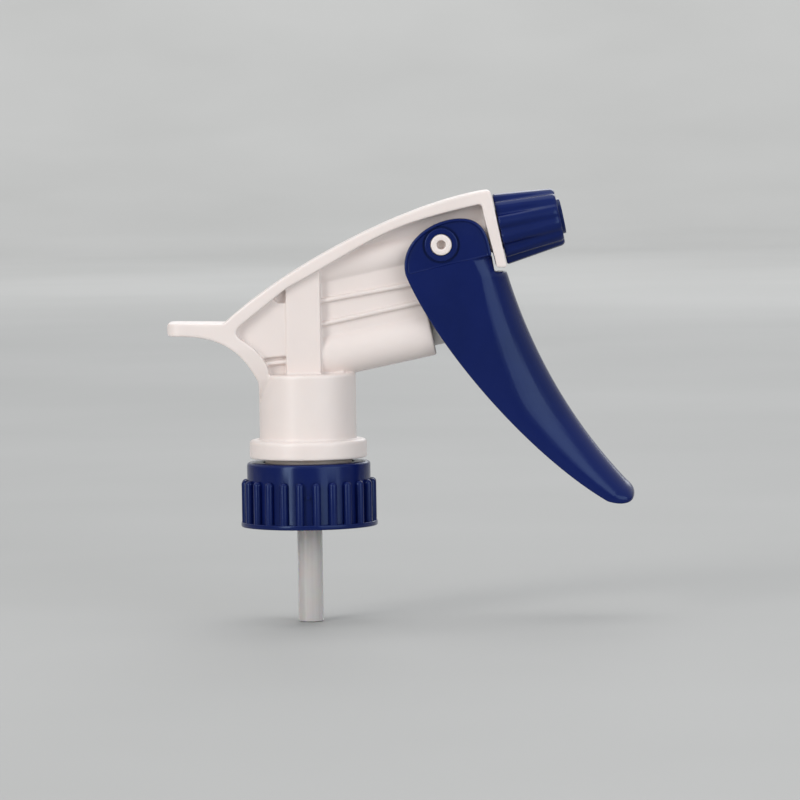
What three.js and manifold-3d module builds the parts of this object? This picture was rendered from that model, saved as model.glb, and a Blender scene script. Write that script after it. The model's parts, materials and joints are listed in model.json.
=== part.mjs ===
// Trigger sprayer head for a 28 mm screw-neck bottle.
// Millimetres. +X points to the nozzle, +Z is up, Y runs across. The origin lies on the
// closure's axis, at the plane where the gasket meets the bottle's lip.

import * as THREE from 'three';
import { mergeVertices } from 'three/addons/utils/BufferGeometryUtils.js';
import Module from 'manifold-3d';

const wasm = await Module();
wasm.setup();

// ---------------------------------------------------------------- driving dimensions

const AXIS_TILT = THREE.MathUtils.degToRad(11.5); // pump and nozzle axes rise to the front
const ROUND = 24; // sides of a round part
const FINE_ROUND = 40; // sides of the widest round parts
const CUT = 1; // how far a cutting tool runs past the face it opens

const PIVOT = { x: 33.15, z: 55.76 }; // trigger's swing axis
const PUMP_FACE = { x: 30.64, z: 34.41 }; // centre of the barrel's open end
const NOZZLE_REAR = { x: 48.2, z: 59.2 }; // centre of the nozzle's rear face

const BODY = {
  halfWidth: 8.5, // arch, horn and front plate
  webHalf: 3.8,
  ribHalf: 4.9,
  ribThick: 1.0,
  panelHalf: 6.0,
  panelBackHalf: 4.6,
  column: { rear: -4.9, front: 3.5, half: 6.6 },
  neckR: 11.85,
  neckBoreR: 10.9,
  neckTop: 24.7,
  neckRoof: 22.3,
  collarR: 14.35,
  collarBottom: 4.1,
  collarTop: 8.6,
  pipeR: 5.0,
  pipeBoreR: 3.7,
  pipeBottom: 12.0,
  riserR: 2.9,
  riserShoulder: 38.2,
  riserTopR: 1.9,
  dischargeR: 5.0,
  dischargeBoreR: 1.5,
  spudR: 4.7,
  spudLength: 9.0,
  spinnerBoreR: 2.6,
  horn: { rearX: -33.8, cornerR: 3.4 },
};

const BARREL = { r: 5.8, boreR: 4.8, boreDepth: 25.6, length: 29.4 };
const TRUNNION = { r: 2.6, holeR: 1.1, holeDepth: 2.6, end: 9.0, bossR: 3.6, bossEnd: 6.3 };

const TRIGGER = {
  half: 8.75,
  noseDepth: { top: 7.6, low: 12 }, // rounding of the lever's front
  channelHalf: 6.65,
  wall: 2.2,
  recess: 0.45,
  bossR: 4.05,
  bossGroove: { wide: 0.45, floor: 7.9 },
  holeR: 2.7,
  padInnerR: 17.5, // push pad, measured from the pivot
  padOuterR: 24.5,
  padThick: 1.8,
  padLead: THREE.MathUtils.degToRad(15), // pad's angle ahead of square to the barrel
};

const CLOSURE = {
  bottom: -12.6,
  top: 3.1,
  webUnder: 1.9,
  wallR: 15.1,
  ribTipR: 16.7,
  boreR: 14.0,
  holeR: 11.2,
  bandTop: -11.4,
  ribTop: -1.1,
  ribCount: 24,
  ribR: 1.05,
  edgeR: 0.9,
  thread: { crestR: 12.95, pitch: 4.23, turns: 1.25, start: -9.6, base: 1.9, crest: 0.8 },
};

const INSERT = {
  flangeR: 13.0,
  flangeBottom: 1.0,
  flangeTop: 1.8,
  sleeveR: 10.6,
  sleeveBoreR: 9.6,
  sleeveTop: 20,
  floorTop: 2.6,
  socketR: 4.3,
  socketBoreR: 3.1,
  socketBottom: -5,
  socketTop: 6,
  stemR: 3.4,
  stemBoreR: 2.5,
  stemTop: 21.3,
  seatR: 1.3,
  seatBottom: 9.4,
};

const TUBE = { r: 3.05, boreR: 2.25, bottom: -36.0, top: 5.7 };
const GASKET = { r: 13.6, boreR: 9.0, thick: 0.9 };
const BALL_R = 2.0;
const INLET_BALL_Z = 11.0;
const OUTLET_BALL_Z = 36.0;
const BALL_STOP = { r: 2.42, boreR: 1.7, bottom: 14.4, top: 15.6, bar: 0.7 };
const OUTLET_SEAT = { r: 2.8, boreR: 1.3, bottom: 33.0, top: 35.4, coneTop: 1.0 };

const PISTON = { rodR: 3.5, headR: 4.4, boreR: 2.75, inner: -12, boreEnd: -1, tip: 11.89, round: 2 };
const SPRING = { coilR: 2.25, wireR: 0.35, start: -25.1, end: -1.5, turns: 8.5 };

const NOZZLE = {
  rear: -0.65,
  front: 14.2,
  rearR: 8.95,
  frontR: 7.1,
  boreR: 5.2,
  boreDepth: 11.0,
  lobes: 12,
  groove: 1.1,
  discBoreR: 4.65,
  discBoreDepth: 1.2,
  sprayHoleR: 0.9,
};
const DISC = { r: 4.35, thick: 1.8, proud: 0.9, holeR: 0.4, dimpleR: 1.4 };
const SPINNER = { r: 2.35, rear: 3.8, front: 8.8, slot: 0.8 };
const O_RING = { r: 4.25, section: 0.65, at: 7.3, grooveR: 3.5, grooveWide: 1.8 };

// ---------------------------------------------------------------- outlines in the X-Z plane

const ARCH_OUTER = [[-20.0, 37.3], [-4.7, 51.0], [24.7, 66.0], [44.7, 68.8]];
const ARCH_INNER = [[-4.3, 46.0], [17.2, 57.2], [17.3, 60.1], [42.4, 65.4]];
const HORN_UNDER = [[-28.0, 34.3], [-19.9, 33.6], [-15.4, 30.1], [-11.8, 22.9]];
const HEAD_REAR = [[24.4, 48.5], [22.7, 55.6], [29.5, 61.6], [37.1, 62.1]];
const HEAD_FRONT = [[37.1, 62.1], [44.0, 62.5], [44.6, 57.0], [45.35, 53.3]];
const RECESS_REAR = [[25.05, 48.65], [23.3, 55.8], [30.8, 61.2], [37.1, 61.45]];
const RECESS_FRONT = [[37.1, 61.45], [42.95, 61.75], [43.85, 57.9], [44.7, 53.05]];
const LEVER_TOP = [[24.4, 48.55], [47.2, 53.65]];
const LEVER_FRONT = [[49.4, 48.0], [54.95, 29.2], [64.5, 11.75], [77.8, -2.6]];
const LEVER_TIP = [[77.8, -2.6], [81.4, -5.4], [79.5, -9.5], [72.7, -7.3]];
const LEVER_REAR = [[24.9, 47.3], [33.3, 28.2], [55.3, 3.2], [72.7, -7.3]];

function bezier(points) {
  return new THREE.CubicBezierCurve(...points.map(([x, z]) => new THREE.Vector2(x, z)));
}

// A shape from straight points and Bezier curves, each curve cut into its own number of steps.
function outline(...pieces) {
  const points = [];
  for (const piece of pieces) {
    if (piece.curve) points.push(...bezier(piece.curve).getPoints(piece.steps));
    else points.push(new THREE.Vector2(...piece));
  }
  const kept = points.filter((p, i) => i === 0 || p.distanceTo(points[i - 1]) > 0.01);
  return new THREE.Shape(kept);
}

const along = (curve, steps) => ({ curve, steps });
const back = (curve, steps) => ({ curve: [...curve].reverse(), steps });

// ---------------------------------------------------------------- solids

function toSolid(geometry) {
  const bare = geometry.index ? geometry.toNonIndexed() : geometry.clone();
  bare.deleteAttribute('normal');
  bare.deleteAttribute('uv');
  const merged = mergeVertices(bare, 1e-4);
  return new wasm.Manifold(new wasm.Mesh({
    numProp: 3,
    vertProperties: new Float32Array(merged.attributes.position.array),
    triVerts: new Uint32Array(merged.index.array),
  }));
}

function toGeometry(solid) {
  const mesh = solid.getMesh();
  const geometry = new THREE.BufferGeometry();
  geometry.setAttribute('position', new THREE.BufferAttribute(mesh.vertProperties, 3));
  geometry.setIndex(new THREE.BufferAttribute(mesh.triVerts, 1));
  return geometry;
}

// Joins the first solids and cuts the rest away.
const join = (solids) => solids.reduce((whole, next) => whole.add(next));
const cut = (whole, tools) => tools.reduce((rest, tool) => rest.subtract(tool), whole);

// Flat shape in X-Z, as thick as 2 x half across Y, or from low to high.
function plate(shape, low, high) {
  const depth = high - low;
  const geometry = new THREE.ExtrudeGeometry(shape, { depth, bevelEnabled: false });
  geometry.rotateX(Math.PI / 2);
  geometry.translate(0, high, 0);
  return toSolid(geometry);
}

const slab = (shape, half) => plate(shape, -half, half);

// Turned part about +Z. The profile runs up its outside; off the axis it closes on itself.
function turn(profile, sides = ROUND) {
  const points = profile.map(([r, z]) => new THREE.Vector2(r, z));
  if (profile[0][0] > 0) points.push(points[0].clone());
  const geometry = new THREE.LatheGeometry(points, sides);
  geometry.rotateX(Math.PI / 2);
  return toSolid(geometry);
}

const rod = (r, low, high, sides = ROUND) => turn([[0, low], [r, low], [r, high], [0, high]], sides);
const ring = (bore, r, low, high, sides = ROUND) => (
  turn([[bore, low], [r, low], [r, high], [bore, high]], sides)
);

function box(sizeX, sizeY, sizeZ, x, y, z) {
  const geometry = new THREE.BoxGeometry(sizeX, sizeY, sizeZ);
  geometry.translate(x, y, z);
  return toSolid(geometry);
}

// Closed skin through equal rings of points, with a fan of faces at each end.
function skin(rings) {
  const sides = rings[0].length;
  const points = rings.flat();
  const faces = [];
  for (let k = 0; k + 1 < rings.length; k += 1) {
    for (let i = 0; i < sides; i += 1) {
      const a = k * sides + i;
      const b = k * sides + ((i + 1) % sides);
      faces.push(a, b, a + sides, b, b + sides, a + sides);
    }
  }
  const last = (rings.length - 1) * sides;
  for (let i = 1; i + 1 < sides; i += 1) {
    faces.push(0, i + 1, i);
    faces.push(last, last + i, last + i + 1);
  }
  const geometry = new THREE.BufferGeometry().setFromPoints(points);
  geometry.setIndex(faces);
  return toSolid(geometry);
}

// Moves a part made about +Z onto a tilted axis that starts at a point in the X-Z plane.
function onAxis(solid, start) {
  const place = new THREE.Matrix4().makeRotationY(Math.PI / 2 - AXIS_TILT);
  place.setPosition(start.x, 0, start.z);
  return solid.transform(place.elements);
}

// Moves a part made about +Z onto the Y axis through the trigger's pivot.
function onPivot(solid) {
  const place = new THREE.Matrix4().makeRotationX(Math.PI / 2);
  place.setPosition(PIVOT.x, 0, PIVOT.z);
  return solid.transform(place.elements);
}

// ---------------------------------------------------------------- sprayer body

function archShell() {
  const frame = slab(outline(
    [BODY.horn.rearX, 34.8],
    [-33.5, 34.5],
    along(HORN_UNDER, 6),
    [-11.7, 18.0],
    [-9.2, 18.0],
    [-9.2, 25.7],
    [-10.3, 28.1],
    [-13.0, 31.2],
    [-16.0, 33.7],
    [-16.6, 35.2],
    [-15.8, 36.8],
    along(ARCH_INNER, 10),
    [43.2, 64.7],
    [43.4, 63.0],
    [46.2, 52.0],
    [46.6, 50.1],
    [48.8, 50.0],
    [49.0, 50.6],
    [45.4, 68.2],
    back(ARCH_OUTER, 12),
    [-33.4, 37.6],
    [BODY.horn.rearX, 37.3],
  ), BODY.halfWidth);
  return frame.intersect(hornPlan()).intersect(rearTaper());
}

// Seen from above: straight sides, rounded corners at the horn's end.
function hornPlan() {
  const { rearX, cornerR } = BODY.horn;
  const half = BODY.halfWidth;
  const shape = new THREE.Shape();
  shape.moveTo(52, -half);
  shape.lineTo(52, half);
  shape.lineTo(rearX + cornerR, half);
  shape.absarc(rearX + cornerR, half - cornerR, cornerR, Math.PI / 2, Math.PI, false);
  shape.absarc(rearX + cornerR, cornerR - half, cornerR, Math.PI, Math.PI * 1.5, false);
  const geometry = new THREE.ExtrudeGeometry(shape, { depth: 60, bevelEnabled: false, curveSegments: 6 });
  geometry.translate(0, 0, 15);
  return toSolid(geometry);
}

// Seen from behind: the flange under the horn narrows down into the neck.
function rearTaper() {
  const half = BODY.halfWidth;
  const side = [[2.5, 16], [3.6, 18.6], [6.2, 21], [7.9, 25], [half, 30], [half, 75]];
  const points = [...side, ...side.map(([y, z]) => [-y, z]).reverse()];
  const shape = new THREE.Shape(points.map(([y, z]) => new THREE.Vector2(y, z)));
  const geometry = new THREE.ExtrudeGeometry(shape, { depth: 90, bevelEnabled: false });
  geometry.rotateX(Math.PI / 2);
  geometry.rotateZ(Math.PI / 2);
  geometry.translate(-36, 0, 0);
  return toSolid(geometry);
}

// Everything under the arch's outer line, to trim what stands up to it.
function underArch() {
  const top = lowered(ARCH_OUTER, 0.7);
  return slab(outline([-19.6, 10], [60, 10], [60, 67.8], back(top, 12)), 12);
}

function web() {
  return slab(outline(
    [-10.4, 21],
    [-14.6, 30.8],
    [-18.0, 36.0],
    along(lowered(ARCH_OUTER, 1.4), 12),
    [44.7, 62.0],
    [45.4, 58.0],
    [32.0, 55.0],
    [29.0, 36.0],
    [9.0, 29.0],
    [9.0, 21.0],
  ), BODY.webHalf);
}

const lowered = (curve, drop) => curve.map(([x, z]) => [x, z - drop]);

// Raised panel between the rear flange, the arch and the column, and the shallower wall behind it.
function rearPanel() {
  const panel = outline(
    [0, 29.6],
    [-11.5, 28.6],
    [-13.8, 31.2],
    [-17.0, 34.0],
    [-17.0, 36.5],
    [-8.6, 43.6],
    [-6.8, 42.2],
    [0, 42.2],
  );
  const back = outline([0, 24], [-10.6, 24], [-14, 31], [-17, 34], [-17, 36.5], [-8, 44.8], [0, 48]);
  return slab(panel, BODY.panelHalf).add(slab(back, BODY.panelBackHalf));
}

// Stiffening ribs across the web, from the rear flange and the column to behind the trigger's head.
function ribs() {
  const half = BODY.ribThick / 2;
  const sloped = (x0, z0, x1, z1, reach) => (
    slab(outline([x0, z0 - half], [x1, z1 - half], [x1, z1 + half], [x0, z0 + half]), reach)
  );
  return [
    sloped(0, 41.8, 29.5, 46.8, BODY.ribHalf),
    sloped(0, 36.0, 29.0, 42.0, BODY.ribHalf),
    sloped(-11.5, 27.2, 0, 28.4, BODY.panelHalf),
  ];
}

function barrel() {
  return onAxis(rod(BARREL.r, -BARREL.length, 0), PUMP_FACE);
}

function neck() {
  const n = BODY;
  return turn([
    [0, n.collarBottom],
    [n.collarR, n.collarBottom],
    [n.collarR, n.collarTop - 0.6],
    [n.collarR - 0.6, n.collarTop],
    [n.neckR, n.collarTop],
    [n.neckR, n.neckTop - 0.4],
    [n.neckR - 0.4, n.neckTop],
    [0, n.neckTop],
  ], FINE_ROUND);
}

// The neck is a downward cup with a pipe for the insert's stem hanging from its roof.
function neckHollow() {
  const n = BODY;
  const low = n.collarBottom - CUT;
  return [
    rod(n.neckBoreR, low, n.pipeBottom, FINE_ROUND),
    ring(n.pipeR, n.neckBoreR, low, n.neckRoof, FINE_ROUND),
    rod(n.pipeBoreR, low, n.neckRoof),
  ];
}

function trunnions() {
  const { r, end, bossR, bossEnd, holeR, holeDepth } = TRUNNION;
  const pins = onPivot(rod(r, -end, end)).add(onPivot(rod(bossR, -bossEnd, bossEnd)));
  const low = onPivot(rod(holeR, -end - CUT, -end + holeDepth, 16));
  const high = onPivot(rod(holeR, end - holeDepth, end + CUT, 16));
  return { pins, holes: [low, high] };
}

function sprayerBody() {
  const b = BODY;
  const pins = trunnions();
  const { rear, front, half } = b.column;
  const column = box(front - rear, half * 2, 33, (front + rear) / 2, 0, b.neckTop + 15.5);
  const dischargeTube = onAxis(rod(b.dischargeR, -51, -2), NOZZLE_REAR);
  const whole = join([
    archShell(),
    neck(),
    join([web(), rearPanel(), column, dischargeTube, ...ribs()]).intersect(underArch()),
    barrel(),
    onAxis(rod(b.spudR, -3, b.spudLength), NOZZLE_REAR),
    pins.pins,
  ]);
  const seal = O_RING;
  return cut(whole, [
    ...pins.holes,
    ...neckHollow(),
    onAxis(rod(BARREL.boreR, -BARREL.boreDepth, CUT), PUMP_FACE),
    onAxis(rod(1.0, -31, -BARREL.boreDepth + CUT, 16), PUMP_FACE),
    rod(b.riserR, b.neckRoof - CUT, b.riserShoulder),
    rod(b.riserTopR, b.riserShoulder - CUT, 49.4),
    box(5.0, 1.2, 2.4, 0, 0, b.riserShoulder + 0.6),
    rod(0.7, b.neckRoof - CUT, 27, 12).translate([8.8, 0, 0]),
    onAxis(rod(b.dischargeBoreR, -49.2, b.spudLength + CUT, 16), NOZZLE_REAR),
    onAxis(rod(b.spinnerBoreR, 3.5, b.spudLength + CUT), NOZZLE_REAR),
    onAxis(ring(seal.grooveR, 6, seal.at - seal.grooveWide / 2, seal.at + seal.grooveWide / 2), NOZZLE_REAR),
  ]);
}

// ---------------------------------------------------------------- trigger

const NOSE_STEPS = 10;

// One cross-section of the lever between its rear and front edges: flat sides and a round nose.
function leverSection(rear, front, half, noseDepth) {
  const length = rear.distanceTo(front);
  const nose = Math.min(noseDepth, length * 0.82);
  const flat = [[0, -half], [0, half]];
  for (let i = 0; i <= NOSE_STEPS; i += 1) {
    const angle = (i / NOSE_STEPS) * Math.PI;
    flat.push([length - nose + nose * Math.sin(angle), half * Math.cos(angle)]);
  }
  return flat.map(([s, y]) => {
    const p = rear.clone().lerp(front, s / length);
    return new THREE.Vector3(p.x, y, p.y);
  });
}

// Rear and front points and nose depths of the lever's cross-sections, from the head to the tip.
function leverStations() {
  const rearEdge = bezier(LEVER_REAR);
  const frontEdge = bezier(LEVER_FRONT);
  const { top, low } = TRIGGER.noseDepth;
  const stations = [[...LEVER_TOP.map(([x, z]) => new THREE.Vector2(x, z)), top]];
  const steps = 12;
  for (let i = 0; i <= steps; i += 1) {
    const t = i / steps;
    const depth = top + (low - top) * Math.min(1, t * 2);
    stations.push([rearEdge.getPoint(t), frontEdge.getPoint(t), depth]);
  }
  return stations;
}

function lever() {
  const { half, noseDepth } = TRIGGER;
  const tip = bezier(LEVER_TIP);
  const rings = leverStations().map(([rear, front, depth]) => leverSection(rear, front, half, depth));
  const tipSteps = 4;
  for (let i = 1; i <= tipSteps; i += 1) {
    const t = (i / tipSteps) * 0.46;
    const narrow = half - 3.5 * (i / tipSteps) ** 2;
    rings.push(leverSection(tip.getPoint(1 - t), tip.getPoint(t), narrow, noseDepth.low));
  }
  return skin(rings);
}

// Room for the body's front plate, where the lever's top front corner would be.
function plateGap() {
  return slab(outline([46.1, 48.9], [45.35, 53.3], [45.0, 56], [60, 56], [60, 48.9]), 12);
}

// Both sides of the head, above the sloping line where the lever begins.
function triggerHead() {
  const shape = outline(along(HEAD_REAR, 8), along(HEAD_FRONT, 8), [45.4, 53.0], [24.5, 48.2]);
  return slab(shape, TRIGGER.half);
}

// Hollow behind the nose, open along the whole rear, and all the way through above the lever.
function channel() {
  const { channelHalf, wall } = TRIGGER;
  const rings = leverStations().slice(0, -1).map(([rear, front, depth], k) => {
    const ahead = front.clone().sub(rear).normalize();
    const inner = front.clone().addScaledVector(ahead, k === 0 ? 0 : -wall); // open behind the plate
    return leverSection(rear.clone().addScaledVector(ahead, -6), inner, channelHalf, depth - wall);
  });
  const above = slab(outline([18, 66], [52, 66], [52, 54.4], [18, 46.8]), channelHalf);
  return skin(rings).add(above);
}

// Shallow recess in each cheek at the head, inside a rim that follows the head's edge.
function headRecess() {
  const shape = outline(along(RECESS_REAR, 8), along(RECESS_FRONT, 8));
  const { half, recess } = TRIGGER;
  return [plate(shape, half - recess, half + CUT), plate(shape, -half - CUT, recess - half)];
}

// Pad that pushes the piston's end, tied to the lever's front wall by a centre rib.
function pushPad() {
  const lead = TRIGGER.padLead;
  const down = new THREE.Vector2(Math.sin(AXIS_TILT), -Math.cos(AXIS_TILT));
  const ahead = new THREE.Vector2(Math.cos(AXIS_TILT), Math.sin(AXIS_TILT));
  const radial = down.clone().multiplyScalar(Math.cos(lead)).addScaledVector(ahead, Math.sin(lead));
  const behind = new THREE.Vector2(-radial.y, radial.x);
  const at = (r, d) => {
    const p = new THREE.Vector2(PIVOT.x, PIVOT.z).addScaledVector(radial, r).addScaledVector(behind, d);
    return [p.x, p.y];
  };
  const { padInnerR, padOuterR, padThick, channelHalf } = TRIGGER;
  const pad = outline(at(padInnerR, 0), at(padOuterR, 0), at(padOuterR, padThick), at(padInnerR, padThick));
  const tie = outline(
    at(padInnerR + 1, padThick / 2),
    at(padOuterR - 1, padThick / 2),
    at(padOuterR - 1, 9.0),
    at(padInnerR + 1, 9.0),
  );
  return [slab(pad, channelHalf + 0.5), slab(tie, 0.8)];
}

// Groove around each boss, in the floor of the recess.
function bossGrooves() {
  const { bossR, bossGroove } = TRIGGER;
  const { wide, floor } = bossGroove;
  return [
    onPivot(ring(bossR, bossR + wide, floor, 10, FINE_ROUND)),
    onPivot(ring(bossR, bossR + wide, -10, -floor, FINE_ROUND)),
  ];
}

function trigger() {
  const { bossR, holeR, channelHalf } = TRIGGER;
  const bosses = onPivot(rod(bossR, -TRUNNION.end, TRUNNION.end, FINE_ROUND));
  const outside = triggerHead().add(cut(lever(), [plateGap()]));
  const shell = cut(outside, headRecess()).add(bosses);
  const hollow = cut(shell, [channel(), onPivot(rod(bossR + 0.2, -channelHalf, channelHalf))]);
  return cut(join([hollow, ...pushPad()]), [onPivot(rod(holeR, -12, 12)), ...bossGrooves()]);
}

// ---------------------------------------------------------------- closure, insert and tube

// Screw thread ridge inside the closure.
function closureThread() {
  const { crestR, pitch, turns, start, base, crest } = CLOSURE.thread;
  const rings = [];
  const steps = Math.round(turns * FINE_ROUND);
  for (let k = 0; k <= steps; k += 1) {
    const angle = ((k + 0.5) / FINE_ROUND) * Math.PI * 2;
    const z = start + (k / FINE_ROUND) * pitch;
    const fade = Math.min(1, k / 4, (steps - k) / 4);
    const tip = CLOSURE.boreR - (CLOSURE.boreR - crestR) * Math.max(fade, 0.15);
    const section = [
      [CLOSURE.boreR + 0.3, z + base / 2],
      [CLOSURE.boreR + 0.3, z - base / 2],
      [tip, z - crest / 2],
      [tip, z + crest / 2],
    ];
    rings.push(section.map(([r, h]) => new THREE.Vector3(r * Math.cos(angle), r * Math.sin(angle), h)));
  }
  return skin(rings);
}

function closureCap() {
  const c = CLOSURE;
  const shell = turn([
    [c.boreR, c.bottom],
    [c.ribTipR, c.bottom],
    [c.ribTipR, c.bandTop],
    [c.wallR, c.bandTop],
    [c.wallR, c.top - c.edgeR],
    [c.wallR - c.edgeR, c.top],
    [c.holeR, c.top],
    [c.holeR, c.webUnder],
    [c.boreR, c.webUnder],
  ], FINE_ROUND);
  const dome = [
    [0, c.bandTop - 0.5],
    [c.ribR, c.bandTop - 0.5],
    [c.ribR, c.ribTop - c.ribR],
    [0, c.ribTop],
  ];
  const ribs = [];
  for (let i = 0; i < c.ribCount; i += 1) {
    const rib = turn(dome, 6).translate([c.ribTipR - 0.15 - c.ribR, 0, 0]);
    ribs.push(rib.rotate([0, 0, ((i + 0.5) / c.ribCount) * 360]));
  }
  return join([shell, ...ribs, closureThread()]);
}

function neckInsert() {
  const n = INSERT;
  const whole = turn([
    [n.socketBoreR, n.socketBottom],
    [n.socketR, n.socketBottom],
    [n.socketR, n.flangeBottom],
    [n.flangeR, n.flangeBottom],
    [n.flangeR, n.flangeTop],
    [n.sleeveR, n.flangeTop],
    [n.sleeveR, n.sleeveTop],
    [n.sleeveBoreR, n.sleeveTop],
    [n.sleeveBoreR, n.floorTop],
    [n.socketR, n.floorTop],
    [n.socketR, 10],
    [n.stemR, 11],
    [n.stemR, n.stemTop],
    [n.stemBoreR, n.stemTop],
    [n.stemBoreR, n.seatBottom + n.stemBoreR - n.seatR],
    [n.seatR, n.seatBottom],
    [n.seatR, n.socketTop],
    [n.socketBoreR, n.socketTop],
  ]);
  return cut(whole, [rod(0.8, 0, 3.5, 12).translate([-7, 0, 0])]);
}

function ballStop() {
  const s = BALL_STOP;
  const barZ = s.bottom + s.bar / 2;
  return join([
    ring(s.boreR, s.r, s.bottom, s.top, 24),
    box(s.boreR * 2 + 0.6, s.bar, s.bar, 0, 0, barZ),
    box(s.bar, s.boreR * 2 + 0.6, s.bar, 0, 0, barZ),
  ]);
}

function outletSeat() {
  const s = OUTLET_SEAT;
  return turn([
    [s.boreR, s.bottom],
    [s.r, s.bottom],
    [s.r, s.top],
    [s.boreR + s.coneTop, s.top],
    [s.boreR, s.top - s.coneTop],
  ], 24);
}

function ball(z) {
  const geometry = new THREE.SphereGeometry(BALL_R, 12, 8);
  geometry.translate(0, 0, z);
  return toSolid(geometry);
}

// ---------------------------------------------------------------- pump

function piston() {
  const p = PISTON;
  return turn([
    [0, p.boreEnd],
    [p.boreR, p.boreEnd],
    [p.boreR, p.inner],
    [p.rodR, p.inner],
    [p.rodR, -9.6],
    [p.headR, -9.6],
    [p.headR, -7.8],
    [p.rodR, -7.8],
    [p.rodR, -6.2],
    [p.headR, -6.2],
    [p.headR, -4.6],
    [p.rodR, -4.0],
    [p.rodR, p.tip - p.round],
    [p.rodR * 0.84, p.tip - p.round * 0.42],
    [p.rodR * 0.45, p.tip - p.round * 0.1],
    [0, p.tip],
  ]);
}

const cupSeal = () => turn([
  [3.6, -11.7],
  [4.3, -12.1],
  [4.65, -12.1],
  [4.65, -11.4],
  [4.2, -9.9],
  [3.6, -9.9],
]);

function oRing(r, section, at, sides = ROUND) {
  const geometry = new THREE.TorusGeometry(r, section, 6, sides);
  geometry.translate(0, 0, at);
  return toSolid(geometry);
}

function returnSpring() {
  const { coilR, wireR, start, end, turns } = SPRING;
  const rings = [];
  const stepsPerTurn = 10;
  const sides = 5;
  for (let k = 0; k <= turns * stepsPerTurn; k += 1) {
    const angle = (k / stepsPerTurn) * Math.PI * 2;
    const z = start + (end - start) * (k / (turns * stepsPerTurn));
    const section = [];
    for (let i = 0; i < sides; i += 1) {
      const around = (i / sides) * Math.PI * 2;
      const r = coilR + wireR * Math.cos(around);
      section.push(new THREE.Vector3(r * Math.cos(angle), r * Math.sin(angle), z - wireR * Math.sin(around)));
    }
    rings.push(section);
  }
  return skin(rings);
}

// ---------------------------------------------------------------- nozzle

// Tapered grip with rounded lobes, whose grooves fade out towards the front.
function nozzleGrip() {
  const { rear, front, rearR, frontR, lobes, groove } = NOZZLE;
  const stations = [0, 0.03, 0.5, 0.97, 1];
  const sides = lobes * 6;
  return skin(stations.map((t) => {
    const edge = t === 0 || t === 1 ? 0.35 : 0;
    const r = rearR + (frontR - rearR) * t - edge;
    const depth = groove * (1 - t * 0.75);
    const z = rear + (front - rear) * t;
    const section = [];
    for (let i = 0; i < sides; i += 1) {
      const angle = (i / sides) * Math.PI * 2;
      const notch = ((1 + Math.cos(angle * lobes)) / 2) ** 2;
      const at = r - depth * notch;
      section.push(new THREE.Vector3(at * Math.cos(angle), at * Math.sin(angle), z));
    }
    return section;
  }));
}

function nozzle() {
  const n = NOZZLE;
  return cut(nozzleGrip(), [
    rod(n.boreR, n.rear - CUT, n.boreDepth),
    rod(n.discBoreR, n.front - n.discBoreDepth, n.front + CUT),
    rod(n.sprayHoleR, n.boreDepth - CUT, n.front, 16),
  ]);
}

function orificeDisc() {
  const { r, thick, proud, holeR, dimpleR } = DISC;
  const front = NOZZLE.front + proud;
  return turn([
    [holeR, front - thick],
    [r, front - thick],
    [r, front - 0.3],
    [r - 0.3, front],
    [dimpleR, front],
    [holeR, front - 0.8],
  ]);
}

function spinner() {
  const s = SPINNER;
  const mid = (s.rear + s.front) / 2;
  return cut(rod(s.r, s.rear, s.front, 24), [
    box(s.slot, s.slot, s.front - s.rear + CUT * 2, s.r, 0, mid),
    box(s.slot, s.slot, s.front - s.rear + CUT * 2, -s.r, 0, mid),
  ]);
}

// ---------------------------------------------------------------- the assembly

const part = new THREE.Group();

const WHITE = new THREE.MeshStandardMaterial({ color: 0xe6dbd2, roughness: 0.45, metalness: 0 });
const NATURAL = new THREE.MeshStandardMaterial({ color: 0xcfc6bd, roughness: 0.4, metalness: 0 });
const BLUE = new THREE.MeshStandardMaterial({ color: 0x1c2358, roughness: 0.3, metalness: 0 });
const CLEAR = new THREE.MeshStandardMaterial({ color: 0xb9b4b2, roughness: 0.35, metalness: 0 });
const RUBBER = new THREE.MeshStandardMaterial({ color: 0x2a2a2c, roughness: 0.7, metalness: 0 });
const FOAM = new THREE.MeshStandardMaterial({ color: 0xe9e7e2, roughness: 0.8, metalness: 0 });
const STEEL = new THREE.MeshStandardMaterial({ color: 0xb4b6b8, roughness: 0.25, metalness: 1 });

function place(name, solid, material) {
  const mesh = new THREE.Mesh(toGeometry(solid), material);
  mesh.name = name;
  part.add(mesh);
}

place('sprayer_body', sprayerBody(), WHITE);
place('trigger', trigger(), BLUE);
place('nozzle', onAxis(nozzle(), NOZZLE_REAR), BLUE);
place('orifice_disc', onAxis(orificeDisc(), NOZZLE_REAR), BLUE);
place('spinner', onAxis(spinner(), NOZZLE_REAR), NATURAL);
place('nozzle_seal', onAxis(oRing(O_RING.r, O_RING.section, O_RING.at), NOZZLE_REAR), RUBBER);
place('closure_cap', closureCap(), BLUE);
place('closure_gasket', ring(GASKET.boreR, GASKET.r, 0, GASKET.thick, FINE_ROUND), FOAM);
place('neck_insert', neckInsert(), NATURAL);
place('dip_tube', ring(TUBE.boreR, TUBE.r, TUBE.bottom, TUBE.top), CLEAR);
place('inlet_ball', ball(INLET_BALL_Z), STEEL);
place('inlet_ball_stop', ballStop(), NATURAL);
place('outlet_valve_seat', outletSeat(), NATURAL);
place('outlet_ball', ball(OUTLET_BALL_Z), STEEL);
place('piston', onAxis(piston(), PUMP_FACE), WHITE);
place('piston_cup_seal', onAxis(cupSeal(), PUMP_FACE), RUBBER);
place('piston_wiper_seal', onAxis(oRing(4.1, 0.5, -7.0, 24), PUMP_FACE), RUBBER);
place('return_spring', onAxis(returnSpring(), PUMP_FACE), STEEL);

export default part;
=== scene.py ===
"""Trigger sprayer head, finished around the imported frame.

Shapes are drawn in millimetres, as in the CAD, and placed in metres.
"""

import json
import math

import bmesh
import bpy
from mathutils import Matrix, Vector


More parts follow.
